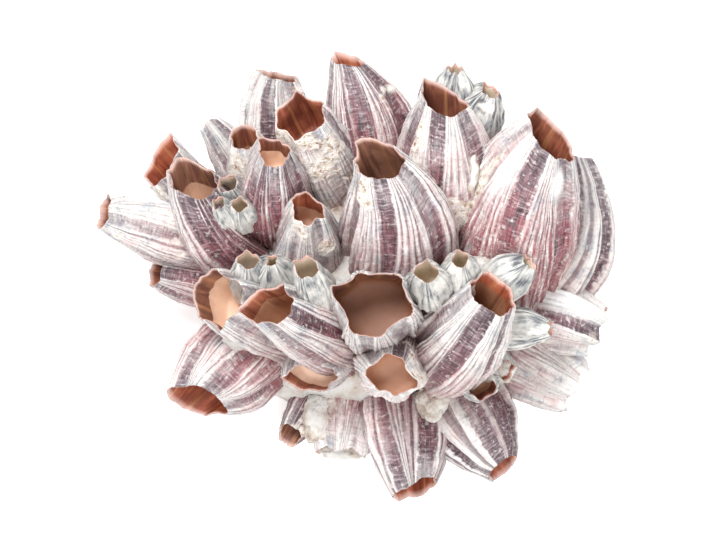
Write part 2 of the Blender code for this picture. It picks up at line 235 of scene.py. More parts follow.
def axis_of(shell, share):
    """Where the axis runs: a line from foot to mouth plus the bow times 4 t (1 - t).

    Returns the points and, for each, unit vectors towards turn 0, towards turn 90 and along the axis.
    """
    foot, mouth, bow = (np.array(part, float) for part in (shell.foot, shell.mouth, shell.bow))
    t = share[:, None]
    along = mouth - foot + bow * 4 * (1 - 2 * t)
    along /= np.linalg.norm(along, axis=1, keepdims=True)
    rise = (mouth - foot)[2] / np.linalg.norm(mouth - foot)
    viewer = np.array([0.0, 1.0, 0.0] if rise > 0.9 else [0.0, 0.0, 1.0])
    near = viewer - along * (along @ viewer)[:, None]
    near /= np.linalg.norm(near, axis=1, keepdims=True)
    return foot + (mouth - foot) * t + bow * 4 * t * (1 - t), near, np.cross(along, near), along


MM_PER_PIXEL = 0.36  # of the photo: the biggest shell is 125 pixels and 45 mm wide
PHOTO_MIDDLE = (357.5, 275.5)  # the pixel over the frame's origin


def sides_of(outline):
    """An outline's corners in mm, its sides, their lengths, and the middle of its edge."""
    corners = (np.array(outline, float) - PHOTO_MIDDLE) * (MM_PER_PIXEL, -MM_PER_PIXEL)
    side = np.roll(corners, -1, axis=0) - corners
    length = np.linalg.norm(side, axis=1)[:, None]
    middle = (length * (corners + side / 2)).sum(axis=0) / length.sum()
    return corners, side, length, middle


def seen_barnacle(name, slot, height, foot, belly_r, foot_r, outline, moved=(0.0, 0.0), **more):
    """A shell whose mouth is at the middle of its outline, to the nearest half millimetre, and then moved."""
    x, y = np.round(2 * sides_of(outline)[3]) / 2 + moved
    return Barnacle(name, slot, (x, y, height), foot, belly_r, foot_r, outline=outline, **more)


def rim_corners(shell):
    """Turn, radius and height of the rim's corners, worked out for a shell whose opening's outline is given.

    The opening is taken as flat. A round one that looks as narrow as the outline is tilted by the arccosine
    of its short spread over its long one. The plane's normal is own_tilt of that tilted one's, and the rest
    of the axis.
    """
    if shell.rim:
        return np.array(shell.rim, float)
    seen, side, length, middle = sides_of(shell.outline)
    away = seen + side / 2 - middle
    spreads, ways = np.linalg.eigh((length * away).T @ away + (length * side).T @ side / 12)
    tilt = min(math.acos(math.sqrt(spreads[0] / spreads[1])), math.radians(75))
    near, sideways, along = (part[0] for part in axis_of(shell, np.ones(1))[1:])
    narrow = ways[:, 0] * (1 if ways[:, 0] @ along[:2] >= 0 else -1)
    tilted = np.array([*(narrow * math.sin(tilt)), math.cos(tilt)])
    normal = tilted * shell.own_tilt + along * (1 - shell.own_tilt)
    flat = seen - middle
    spokes = np.column_stack([flat, -(flat @ normal[:2]) / normal[2]])
    turns = np.degrees(np.arctan2(spokes @ sideways, spokes @ near)) % 360
    corners = np.column_stack([turns, np.hypot(spokes @ sideways, spokes @ near), spokes @ along])
    return corners[np.argsort(turns)]


def rim_at(shell, angle):
    """Radius and height of the rim, whose edges run straight from corner to corner.

    The point at an angle is where the ray at that angle crosses an edge, by the ratio of two cross products.
    """
    turns, radii, heights = rim_corners(shell).T
    turns = np.radians(turns)
    corners = np.stack([radii * np.cos(turns), radii * np.sin(turns), heights], axis=1)
    after = np.searchsorted(turns, angle % (2 * np.pi)) % len(turns)
    start, end = corners[after - 1], corners[after]
    before_cross = np.cos(angle) * start[..., 1] - np.sin(angle) * start[..., 0]
    after_cross = np.cos(angle) * end[..., 1] - np.sin(angle) * end[..., 0]
    point = start + (end - start) * (before_cross / (before_cross - after_cross))[..., None]
    return np.hypot(point[..., 0], point[..., 1]), point[..., 2]


def place_rows(shell, share, radius, lift, angle):
    """Points at a radius and an angle round the axis, lifted along it, for each row's share of the height."""
    centre, near, sideways, along = (part[:, None, :] for part in axis_of(shell, share))
    spoke = near * np.cos(angle)[..., None] + sideways * np.sin(angle)[..., None]
    return centre + spoke * radius[..., None] + along * lift[..., None]


def patches_on(angle, t, patches):
    """How much a point is in the nearest patch: 1 at its middle, falling as exp(-d^4) with distance d."""
    inside = np.zeros(angle.shape)
    for turn, rise, half_turn, half_rise in patches:
        aside = (np.degrees(angle) - turn + 180) % 360 - 180
        distance_squared = (aside / half_turn) ** 2 + ((t - rise) / half_rise) ** 2
        inside = np.maximum(inside, np.exp(-(distance_squared**2)))
    return inside


def barnacle(shell, seed, materials, rows, plate_columns, band_columns, lining_rows):
    """One whole shell: up the ribbed wall, over the lip, and down the lining to a dished floor.

    Outside, the radius is the girth, blended towards the rim's shape by the height squared, plus on each
    plate an arch and ribs that are a power of a cosine across it, minus a hollow on each band, plus growth
    steps and noise. The girth falls from the belly by a square to the foot and by a power of 1.7 to the
    mouth. The lining stays inside the wall.
    """
    rng = np.random.default_rng(seed)
    column = np.arange(shell.plates * (plate_columns + band_columns))
    plate, step = np.divmod(column, plate_columns + band_columns)
    on_plate = step < plate_columns
    place = np.where(on_plate, step / plate_columns, (step - plate_columns) / band_columns)
    length = np.linalg.norm(np.array(shell.mouth) - shell.foot)
    lip = 0.5 if shell.plates == 6 else 0.35
    share = np.linspace(0, 1, rows)
    t = share[:, None]

    # Plates narrow from 0.88 of their pitch at the foot to 0.34 at the mouth, and the bands fill the rest
    half = 0.44 - 0.27 * t
    turns = np.where(on_plate, (2 * place - 1) * half, half + (1 - 2 * half) * place)
    sway = rng.uniform(-0.08, 0.08, shell.plates)
    next_sway = sway[(plate + 1) % shell.plates]
    turns = turns + np.where(on_plate, sway[plate], sway[plate] * (1 - place) + next_sway * place)
    angle = (plate + turns) * 2 * np.pi / shell.plates + math.radians(shell.turn)

    # Girth, and the rim's shape
    rim_r, rim_lift = rim_at(shell, angle)
    mouth_r = rim_corners(shell)[:, 1].mean() + lip
    low = np.clip((shell.belly_at - t) / shell.belly_at, 0, 1)
    high = np.clip((t - shell.belly_at) / (1 - shell.belly_at), 0, 1)
    girth = shell.belly_r - (shell.belly_r - shell.foot_r) * low**2 - (shell.belly_r - mouth_r) * high**1.7
    size = girth * (1 + t**2 * ((rim_r + lip) / mouth_r - 1))
    jag = np.stack([np.cos(angle) * 4, np.sin(angle) * 4, 0 * angle], axis=-1)
    lift = (rim_lift + 0.3 * grain(jag, 0.7, seed + 2) + 0.12 * grain(jag, 0.2, seed + 3)) * t**3
    base = place_rows(shell, share, size, lift, angle)

    # Chalky places, where the ribs are worn away
    patch = 0.5 + 0.32 * grain(base, 11, seed + 6) + 0.2 * grain(base, 4, seed + 7)
    patch = patch + 0.08 * grain(base, 1.5, seed + 8)
    patch = patch + 0.5 * np.clip(0.3 - t, 0, 1) + 0.6 * patches_on(angle, t, shell.crust)
    chalk = np.clip((patch - 1 + shell.chalk) / 0.1, 0, 1)

    # Ribs
    count = np.full(shell.plates, shell.ribs)
    if shell.plates == 6:
        count = count + rng.integers(-1, 2, shell.plates)
    wander = np.stack(np.broadcast_arrays(plate * 7.3 + place * 2, t * length / 16, 0.5), axis=-1)
    shift = rng.uniform(0, 2 * np.pi, (2, shell.plates))[:, plate]
    uneven = 0.075 * (np.sin(2 * np.pi * place + shift[0]) - np.sin(shift[0]))
    uneven = uneven + 0.03 * (np.sin(4 * np.pi * place + shift[1]) - np.sin(shift[1]))
    phase = count[plate] * (place + uneven + 0.1 * grain(wander, 1, seed) * np.sin(np.pi * place))
    rib = np.clip(np.floor(phase + 0.5).astype(int), 0, 9)
    ridge = np.abs(np.cos(np.pi * phase)) ** shell.ridge
    height = rng.uniform(0.5, 1.2, (shell.plates, 10))[plate, rib]
    along_rib = np.stack(np.broadcast_arrays(plate * 11 + rib, t * length / 5, 0.2), axis=-1)
    height = height * (1 + 0.35 * grain(along_rib, 1, seed))
    spacing = 4 * np.pi / shell.plates * half * size / count[plate]
    ribs = np.clip(0.42 * spacing, 0.05, 1.5) * ridge * height
    ribs = ribs + 0.14 * spacing * np.abs(np.sin(2.5 * np.pi * phase)) * np.clip(1.3 - 1.2 * t, 0, 1)
    arch = 0.05 * size * (1 - (2 * place - 1) ** 2)
    hollow = np.clip(0.05 * size, 0.2, 0.8) * np.sqrt(np.sin(np.pi * place) + 1e-9)
    around = np.stack([np.cos(angle) * 2, np.sin(angle) * 2, t * length / 9 + 0 * angle], axis=-1)
    ledge = (t * length / 5.5 + 0.9 * grain(around, 1, seed + 1)) % 1
    radius = size + np.where(on_plate, arch + ribs * (1 - 0.75 * chalk), -hollow)
    radius = radius + 0.22 * (0.5 - ledge) * (1 - t**6) + 0.55 * grain(base, 7, seed + 4)
    radius = radius + (0.2 + 0.3 * chalk) * grain(base, 2.4, seed + 5) + 0.35 * chalk
    outside = place_rows(shell, share, radius, lift, angle)

    # Lip, lining and floor
    edge, edge_angle = radius[-1] - lip, angle[-1]
    lip_rows = place_rows(shell, np.array([1.0, 1.0]), np.stack([edge + 0.6 * lip, edge]),
                          np.stack([lift[-1] + 0.15, lift[-1] + 0.05]), np.stack([edge_angle] * 2))
    down = np.linspace(0, 1, lining_rows + 1)[1:, None]
    inner = edge * (1 - down) + edge.mean() * (1 + 0.4 * (edge / edge.mean() - 1)) * down
    pinch = 0.3 * np.where(on_plate, 0, np.sin(np.pi * place)) * (1 - down)
    inner = inner * (1 + 0.12 * np.sin(np.pi * down)) - pinch
    beside = (1 - shell.depth * down) * (rows - 1)
    under = beside.astype(int)[:, 0]
    wall_r = radius[under] + (radius[under + 1] - radius[under]) * (beside % 1)
    inner = np.minimum(inner, wall_r - lip - 0.7 * np.clip(4 * down, 0, 1))
    inner_angle = np.broadcast_to(edge_angle, inner.shape)
    lining = place_rows(shell, 1 - shell.depth * down[:, 0], inner, lift[-1] * (1 - down) ** 2, inner_angle)
    dish = np.linspace(0, 1, 6)[1:, None] * np.radians(80)
    sunk = 0 * inner[-1] - 2 * np.sin(dish)
    floor = place_rows(shell, np.full(5, 1 - shell.depth), inner[-1] * np.cos(dish), sunk, inner_angle[:5])
    lining[..., :2] += down[..., None] ** 1.5 * np.array(shell.lean)
    floor[..., :2] += np.array(shell.lean)
    points = np.concatenate([outside, lip_rows, lining, floor])

    # What the materials read of the wall: band, groove, stain and blush; then chalk, height, a rib's chance
    # and how clean a white it is
    clean = patches_on(angle, t, shell.white)
    bands = np.resize(shell.bands, shell.plates)[plate]
    panels = np.resize(shell.panels, shell.plates)[plate]
    panels = panels * rng.uniform(0.55, 1.3, (shell.plates, 10))[plate, rib]
    bands = bands * (0.85 + 0.35 * grain(around, 1.5, seed + 10)) * (0.55 + 0.45 * np.clip(2 * t, 0, 1))
    stain = np.clip(np.where(on_plate, panels, bands), 0, 1) * (1 - clean)
    blush = np.clip(shell.blush * (1.7 - 1.7 * t), 0, 1) * (1 - clean)
    band = np.where(on_plate, 0, np.clip(5 * np.minimum(place, 1 - place), 0, 1)) + 0 * angle
    groove = np.where(on_plate, 1 - ridge, 0.4)
    chance = rng.uniform(0, 1, (shell.plates, 10))[plate, rib]
    paint_out = np.stack(np.broadcast_arrays(band, groove, stain, blush, chalk, t, chance, clean), axis=-1)

    # Of the lining: depth over that of its dark part, seam, redness and paleness, the paleness partly painted
    # light on the floor of the hollow; then the lip and a tone for each plate, which is painted shade that
    # makes the plate's facet of the lining lighter or darker
    depth_mm = np.concatenate([[[0.0]], down * shell.depth * length, 0 * dish + shell.depth * length])
    round_edge = np.stack([np.cos(edge_angle) * 2, np.sin(edge_angle) * 2, 0 * edge_angle], axis=-1)
    edge_of_dark = shell.sheath * (1 + 0.22 * grain(round_edge, 1.2, seed + 9))
    seam = np.where(on_plate, 0, np.exp(-(((place - 0.5) / 0.16) ** 2)))
    # Painted shade: a random lighter or darker tone for each plate's facet of the lining
    tone = rng.uniform(-1, 1, shell.plates)[plate]
    lip_shade = 0.8 * np.exp(-depth_mm / 0.5)
    paint_in = np.stack(np.broadcast_arrays(depth_mm / edge_of_dark, seam, shell.warmth, shell.light,
                                            lip_shade, tone, 0.0, 0.0), axis=-1)
    along = np.concatenate([share * length, [length], length + depth_mm[:, 0]])
    turns_round = np.append(plate + np.where(on_plate, 0.8 * place, 0.8 + 0.2 * place), shell.plates)
    across, up = np.broadcast_arrays(turns_round[None, :] + 10 * seed, along[:, None] / 100)
    paint = np.concatenate([paint_out, paint_out[-1:], paint_in])
    piece = closed_piece(shell.name.replace("barnacle", "shell"), points, paint, across, up, materials, rows)
    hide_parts(shell.name)


# Ribs are chalk white, and the grooves between them and the bands are stained: greyish mauve near the mouth,
# plum and wine lower down, and rose-red in broken streaks at the foot.
calcite = new_material("purple ribbed calcite")
wall = add(calcite, "Attribute", attribute_name="wall").node.outputs
band, groove, stain = add(calcite, "SeparateColor", {"Color": wall["Color"]}).node.outputs
blush = wall["Alpha"]
cover = add(calcite, "Attribute", attribute_name="cover").node.outputs
chalk, height, chance = add(calcite, "SeparateColor", {"Color": cover["Color"]}).node.outputs
clean = cover["Alpha"]
wall_map = add(calcite, "UVMap", uv_map="along the wall")
place = add(calcite, "TexCoord", out=3)
# Streaks of 1 to 2 mm that run 15 mm up the wall
long_way = add(calcite, "Mapping", {"Vector": wall_map, "Scale": (13.0, 6.5, 1.0)})
streaks = add(calcite, "TexNoise", {"Vector": long_way, "Scale": 1.0, "Detail": 6.0, "Roughness": 0.66})
# Hairlines of a third of a millimetre
hair_way = add(calcite, "Mapping", {"Vector": wall_map, "Scale": (52.0, 8.0, 1.0)})
hairs = add(calcite, "TexNoise", {"Vector": hair_way, "Scale": 1.0, "Detail": 4.0, "Roughness": 0.65})
# Growth lines about 0.8 mm apart
line_way = add(calcite, "Mapping", {"Vector": wall_map, "Scale": (7.0, 120.0, 1.0)})
lines = add(calcite, "TexNoise", {"Vector": line_way, "Scale": 1.0, "Detail": 2.0})
# Clouds about 8 mm across, blotches of 2 mm, and specks of half a millimetre
clouds = add(calcite, "TexNoise", {"Vector": place, "Scale": 130.0, "Detail": 4.0})
blotches = add(calcite, "TexNoise", {"Vector": place, "Scale": 480.0, "Detail": 5.0, "Roughness": 0.65})
specks = add(calcite, "TexNoise", {"Vector": place, "Scale": 1500.0, "Detail": 3.0})
low = add(calcite, "MapRange", {0: height, 1: 0.80, 2: 0.30})

# White ribs, grey-blue, greenish or pink in places
rib = add(calcite, "ValToRGB", {"Fac": clouds},
          stops=((0.34, "BCC4CA"), (0.43, "E4E5E1"), (0.54, "F3F0EC"), (0.66, "EDDAD7")))
pinkish = add(calcite, "Math", {0: blush, 1: 0.3}, operation="MULTIPLY")
rib = add(calcite, "Mix", {0: pinkish, 6: rib, 7: linear("E6BDBB")}, 2, data_type="RGBA",
          blend_type="MULTIPLY")
greyed = add(calcite, "MapRange", {0: streaks, 1: 0.52, 2: 0.66, 4: 0.55})
rib = add(calcite, "Mix", {0: greyed, 6: rib, 7: linear("ABA0A3")}, 2, data_type="RGBA")
# Grooves
streaky = add(calcite, "MapRange", {0: streaks, 1: 0.3, 2: 0.7, 3: -0.35, 4: 0.35})
deep = add(calcite, "Math", {0: groove, 1: streaky}, operation="ADD")
more_stained = add(calcite, "MapRange", {0: stain, 1: 0.7, 2: 1.0, 4: 0.3})
deep = add(calcite, "Math", {0: deep, 1: more_stained}, operation="ADD")
deep = add(calcite, "MapRange", {0: deep, 1: 0.28, 2: 0.66})
strength = add(calcite, "MapRange", {0: stain, 1: 0.0, 2: 0.8, 3: 0.18, 4: 1.0})
deep = add(calcite, "Math", {0: deep, 1: strength}, operation="MULTIPLY")
groove_tone = add(calcite, "Mix", {0: low, 6: linear("6C5C64"), 7: linear("663F4A")}, 2, data_type="RGBA")
colour = add(calcite, "Mix", {0: deep, 6: rib, 7: groove_tone}, 2, data_type="RGBA")
# Some whole ribs are stained
dusky = add(calcite, "MapRange", {0: chance, 1: 0.35, 2: 0.8, 4: 1.1})
dusky = add(calcite, "Math", {0: dusky, 1: stain}, operation="MULTIPLY")
more_stained = add(calcite, "MapRange", {0: stain, 1: 0.7, 2: 1.0, 4: 0.6})
dusky = add(calcite, "Math", {0: dusky, 1: more_stained}, operation="ADD", use_clamp=True)
in_hairs = add(calcite, "MapRange", {0: hairs, 1: 0.38, 2: 0.6})
dusky = add(calcite, "Math", {0: dusky, 1: in_hairs}, operation="MULTIPLY")
dusky_tone = add(calcite, "Mix", {0: low, 6: linear("94858C"), 7: linear("936670")}, 2, data_type="RGBA")
colour = add(calcite, "Mix", {0: dusky, 6: colour, 7: dusky_tone}, 2, data_type="RGBA")
# The crests of the ribs are white, partly rubbed white and partly a painted highlight, except on the most
# stained plates
crest_edge = add(calcite, "MapRange", {0: hairs, 1: 0.3, 2: 0.7, 3: 0.12, 4: -0.12})
crest_wear_and_highlight = add(calcite, "Math", {0: groove, 1: crest_edge}, operation="ADD")
crest_wear_and_highlight = add(calcite, "MapRange", {0: crest_wear_and_highlight, 1: 0.20, 2: 0.04, 4: 0.8})
less_stained = add(calcite, "MapRange", {0: stain, 1: 0.65, 2: 0.95, 3: 1.0, 4: 0.3})
crest_wear_and_highlight = add(calcite, "Math", {0: crest_wear_and_highlight, 1: less_stained}, operation="MULTIPLY")
colour = add(calcite, "Mix", {0: crest_wear_and_highlight, 6: colour, 7: linear("EBE8E5")}, 2, data_type="RGBA")
# Bands with ragged edges, hatched by growth lines and hairlines
band_edge = add(calcite, "MapRange", {0: blotches, 1: 0.3, 2: 0.7, 3: -0.5, 4: 0.5})
ragged = add(calcite, "Math", {0: band, 1: band_edge}, operation="ADD")
in_band = add(calcite, "MapRange", {0: ragged, 1: 0.25, 2: 0.65, 4: 1.2})
in_band = add(calcite, "Math", {0: in_band, 1: stain}, operation="MULTIPLY")
streaky = add(calcite, "MapRange", {0: streaks, 1: 0.34, 2: 0.56, 3: 0.75, 4: 1.25})
in_band = add(calcite, "Math", {0: in_band, 1: streaky}, operation="MULTIPLY", use_clamp=True)
hatch = add(calcite, "Math", {0: lines, 1: hairs}, operation="ADD")
hatch = add(calcite, "MapRange", {0: hatch, 1: 0.78, 2: 1.25})
cool_band = add(calcite, "ValToRGB", {"Fac": hatch},
                stops=((0.0, "463A3F"), (0.5, "695A61"), (1.0, "9A8D91")))
warm_band = add(calcite, "ValToRGB", {"Fac": hatch},
                stops=((0.0, "3E262D"), (0.5, "63414A"), (1.0, "957176")))
band_tone = add(calcite, "Mix", {0: low, 6: cool_band, 7: warm_band}, 2, data_type="RGBA")
colour = add(calcite, "Mix", {0: in_band, 6: colour, 7: band_tone}, 2, data_type="RGBA")
# The most stained walls are dark plum
plum = add(calcite, "MapRange", {0: stain, 1: 0.75, 2: 1.0, 4: 0.8})
in_streaks = add(calcite, "MapRange", {0: streaks, 1: 0.38, 2: 0.52})
plum = add(calcite, "Math", {0: plum, 1: in_streaks}, operation="MULTIPLY")
colour = add(calcite, "Mix", {0: plum, 6: colour, 7: linear("96686F")}, 2, data_type="RGBA",
             blend_type="MULTIPLY")
# Rose-red low on the wall, in broken streaks
red_way = add(calcite, "Mapping", {"Vector": wall_map, "Scale": (15.0, 13.0, 1.0)})
red_streaks = add(calcite, "TexNoise", {"Vector": red_way, "Scale": 1.0, "Detail": 6.0, "Roughness": 0.68})
red = add(calcite, "MapRange", {0: red_streaks, 1: 0.43, 2: 0.51})
red = add(calcite, "Math", {0: red, 1: blush}, operation="MULTIPLY")
in_groove = add(calcite, "MapRange", {0: groove, 1: 0.1, 2: 0.7, 3: 0.7, 4: 1.0})
red = add(calcite, "Math", {0: red, 1: in_groove}, operation="MULTIPLY")
red_tone = add(calcite, "ValToRGB", {"Fac": hairs},
               stops=((0.36, "6C2F3A"), (0.50, "98505A"), (0.64, "C08988")))
colour = add(calcite, "Mix", {0: red, 6: colour, 7: red_tone}, 2, data_type="RGBA")
# Thin dark lines along the ribs, and short breaks that show white shell
scratch = add(calcite, "MapRange", {0: hairs, 1: 0.60, 2: 0.68, 4: 0.6})
colour = add(calcite, "Mix", {0: scratch, 6: colour, 7: linear("6F5259")}, 2, data_type="RGBA")
worn = add(calcite, "MapRange", {0: blotches, 1: 0.57, 2: 0.66, 4: 0.5})
colour = add(calcite, "Mix", {0: worn, 6: colour, 7: linear("F1EDE8")}, 2, data_type="RGBA")
# Painted shade towards the foot, where the shells press together: darker lower down the wall
painted_shade_at_foot = add(calcite, "MapRange", {0: height, 1: 0.60, 2: 0.15, 4: 0.4})
colour = add(calcite, "Mix", {0: painted_shade_at_foot, 6: colour, 7: linear("B78D86")}, 2, data_type="RGBA",
             blend_type="MULTIPLY")
# Pale and dark growth lines
pale_line = add(calcite, "MapRange", {0: lines, 1: 0.56, 2: 0.68, 4: 0.18})
colour = add(calcite, "Mix", {0: pale_line, 6: colour, 7: linear("EDE3E2")}, 2, data_type="RGBA")
dark_line = add(calcite, "MapRange", {0: lines, 1: 0.44, 2: 0.34, 4: 0.3})
colour = add(calcite, "Mix", {0: dark_line, 6: colour, 7: linear("8C757A")}, 2, data_type="RGBA",
             blend_type="MULTIPLY")
# Clean white patches, and chalk, which is cream in places
white = add(calcite, "Math", {0: clean, 1: 0.8}, operation="MULTIPLY")
colour = add(calcite, "Mix", {0: white, 6: colour, 7: linear("F2F1F0")}, 2, data_type="RGBA")
cream = add(calcite, "ValToRGB", {"Fac": blotches},
            stops=((0.34, "9A7C6C"), (0.44, "D2C4B3"), (0.54, "EEEAE4"), (0.68, "DDBFB9")))
colour = add(calcite, "Mix", {0: chalk, 6: colour, 7: cream}, 2, data_type="RGBA")
fibrous = add(calcite, "Mix", {0: 0.5, 6: streaks, 7: hairs}, 2, data_type="RGBA")
fibrous = add(calcite, "Mix", {0: 0.3, 6: fibrous, 7: lines}, 2, data_type="RGBA")
gritty = add(calcite, "Mix", {0: 0.4, 6: blotches, 7: specks}, 2, data_type="RGBA")
how_gritty = add(calcite, "MapRange", {0: chalk, 3: 0.25, 4: 1.0})
bumps = add(calcite, "Mix", {0: how_gritty, 6: fibrous, 7: gritty}, 2, data_type="RGBA")
relief = add(calcite, "Bump", {"Height": bumps, "Strength": 1.0, "Distance": 0.0016})
shine = add(calcite, "MapRange", {0: band, 1: 0.0, 2: 1.0, 3: 0.65, 4: 0.5})
ribbed = add(calcite, "BsdfPrincipled", {"Base Color": colour, "Roughness": shine, "Normal": relief})
add(calcite, "OutputMaterial", {"Surface": ribbed})

# Smooth calcite. Its upper part, the sheath, is red-brown with paler seams, and below a clean edge it is tan.
# The tan is partly its own colour and partly painted light on the floor of the hollow.
nacre = new_material("satin brown lining")
wall = add(nacre, "Attribute", attribute_name="wall").node.outputs
sheath, seam, warmth = add(nacre, "SeparateColor", {"Color": wall["Color"]}).node.outputs
light = wall["Alpha"]
cover = add(nacre, "Attribute", attribute_name="cover").node.outputs
lip, tone = add(nacre, "SeparateColor", {"Color": cover["Color"]}).node.outputs[:2]
wall_map = add(nacre, "UVMap", uv_map="along the wall")
cloud_way = add(nacre, "Mapping", {"Vector": wall_map, "Scale": (4.0, 12.0, 1.0)})
clouds = add(nacre, "TexNoise", {"Vector": cloud_way, "Scale": 1.0, "Detail": 3.0})
fibre_way = add(nacre, "Mapping", {"Vector": wall_map, "Scale": (26.0, 5.0, 1.0)})
fibres = add(nacre, "TexNoise", {"Vector": fibre_way, "Scale": 1.0, "Detail": 2.0})
brown = add(nacre, "Mix", {0: warmth, 6: linear("8A6452"), 7: linear("B9684B")}, 2, data_type="RGBA")
dark = add(nacre, "Mix", {0: warmth, 6: linear("634439"), 7: linear("85432F")}, 2, data_type="RGBA")
cloudy = add(nacre, "MapRange", {0: clouds, 1: 0.38, 2: 0.62})
# Painted shade on the lining's facets, from each plate's tone
painted_facet_shade = add(nacre, "MapRange", {0: tone, 1: -1.0, 2: 1.0, 3: -0.5, 4: 0.5})
mixed = add(nacre, "Math", {0: cloudy, 1: painted_facet_shade}, operation="ADD", use_clamp=True)
upper = add(nacre, "Mix", {0: mixed, 6: brown, 7: dark}, 2, data_type="RGBA")
bright_fibres = add(nacre, "MapRange", {0: fibres, 1: 0.4, 2: 0.6, 4: 0.6})
bright_seam = add(nacre, "Math", {0: seam, 1: bright_fibres}, operation="MULTIPLY")
upper = add(nacre, "Mix", {0: bright_seam, 6: upper, 7: linear("C98F63")}, 2, data_type="RGBA")
# The tan below the sheath, partly painted light on the floor of the hollow
lower = add(nacre, "ValToRGB", {"Fac": light},
            stops=((0.0, "8A5940"), (0.5, "BE8E70"), (0.85, "FBDCC4"), (1.0, "D8CCB8")))
# Clouds about 8 mm across on the paler part
place = add(nacre, "TexCoord", out=3)
soft_clouds = add(nacre, "TexNoise", {"Vector": place, "Scale": 130.0, "Detail": 4.0})
lower_uneven = add(nacre, "MapRange", {0: soft_clouds, 1: 0.35, 2: 0.65, 4: 0.3})
lower = add(nacre, "Mix", {0: lower_uneven, 6: lower, 7: linear("C9A48A")}, 2, data_type="RGBA",
            blend_type="MULTIPLY")
below = add(nacre, "MapRange", {0: sheath, 1: 0.97, 2: 1.03})
body = add(nacre, "Mix", {0: below, 6: upper, 7: lower}, 2, data_type="RGBA")
body = add(nacre, "Mix", {0: lip, 6: body, 7: linear("DCC0B8")}, 2, data_type="RGBA")
satin = add(nacre, "BsdfPrincipled", {"Base Color": body, "Roughness": 0.5, "Specular IOR Level": 0.35})
add(nacre, "OutputMaterial", {"Surface": satin})

FACING = (
    seen_barnacle("wide_mouth_barnacle", "pale_shell", 96, (8, -16.5, 44), 14.6, 11,
                  outline=((333, 285), (358, 275), (386, 273), (400, 280), (406, 290), (409, 300),
                           (408, 313), (400, 320), (371, 336), (358, 335), (350, 323), (340, 305)),
                  own_tilt=0.25, belly_at=0.5, turn=20, depth=0.46, bands=(0.6, 0.3, 0.5), panels=(0.4,),
                  blush=0.2, sheath=15, warmth=0.2, light=0.12),
    seen_barnacle("lower_middle_barnacle", "pale_shell", 85, (12, -30, 40), 12, 11,
                  outline=((365, 373), (371, 364), (383, 354), (393, 353), (400, 356), (403, 363),
                           (408, 371), (415, 378), (414, 384), (403, 391), (393, 392), (380, 387),
                           (370, 381)), own_tilt=0.25, turn=15, bands=(0.5, 0.1, 0.1, 0.1, 0.1, 0.9),
                  panels=(0.6, 0.2, 0.1, 0.1, 0.3, 0.8), blush=0.35, chalk=0.4, depth=0.28, sheath=3,
                  light=0.55, lean=(1, -1.5)),
    seen_barnacle("right_middle_barnacle", "mauve_shell", 82, (29, -31, 38), 15, 13,
                  outline=((468, 288), (473, 280), (481, 274), (491, 275), (499, 281), (507, 288),
                           (513, 295), (511, 303), (506, 313), (497, 315), (486, 310), (476, 301),
                           (469, 295)), own_tilt=0.6, moved=(0, 0.5), belly_at=0.4, bow=(-1, -3, 3),
                  turn=-20, ribs=4, bands=(0.95, 0.85, 0.5, 0.5, 0.5, 0.6),
                  panels=(0.35, 0.3, 0.3, 0.3, 0.3, 0.25), blush=0.35, sheath=7, warmth=1.0, light=0.15),
    seen_barnacle("left_middle_barnacle", "mauve_shell", 80, (-5, -25, 40), 12, 11,
                  outline=((240, 308), (250, 295), (267, 288), (283, 285), (292, 300), (292, 313),
                           (277, 323), (257, 322), (247, 317)), own_tilt=0.6, belly_at=0.35, bow=(0, -1, 4),
                  turn=-15, bands=(1.0, 0.8, 0.6, 0.6, 0.5, 0.5), panels=(0.4, 0.6, 0.5), blush=0.5,
                  sheath=8, warmth=0.6, light=0.5),
)
for number, shell in enumerate(FACING, 10):
    barnacle(shell, number, [calcite, nacre], 64, 30, 10, 12)


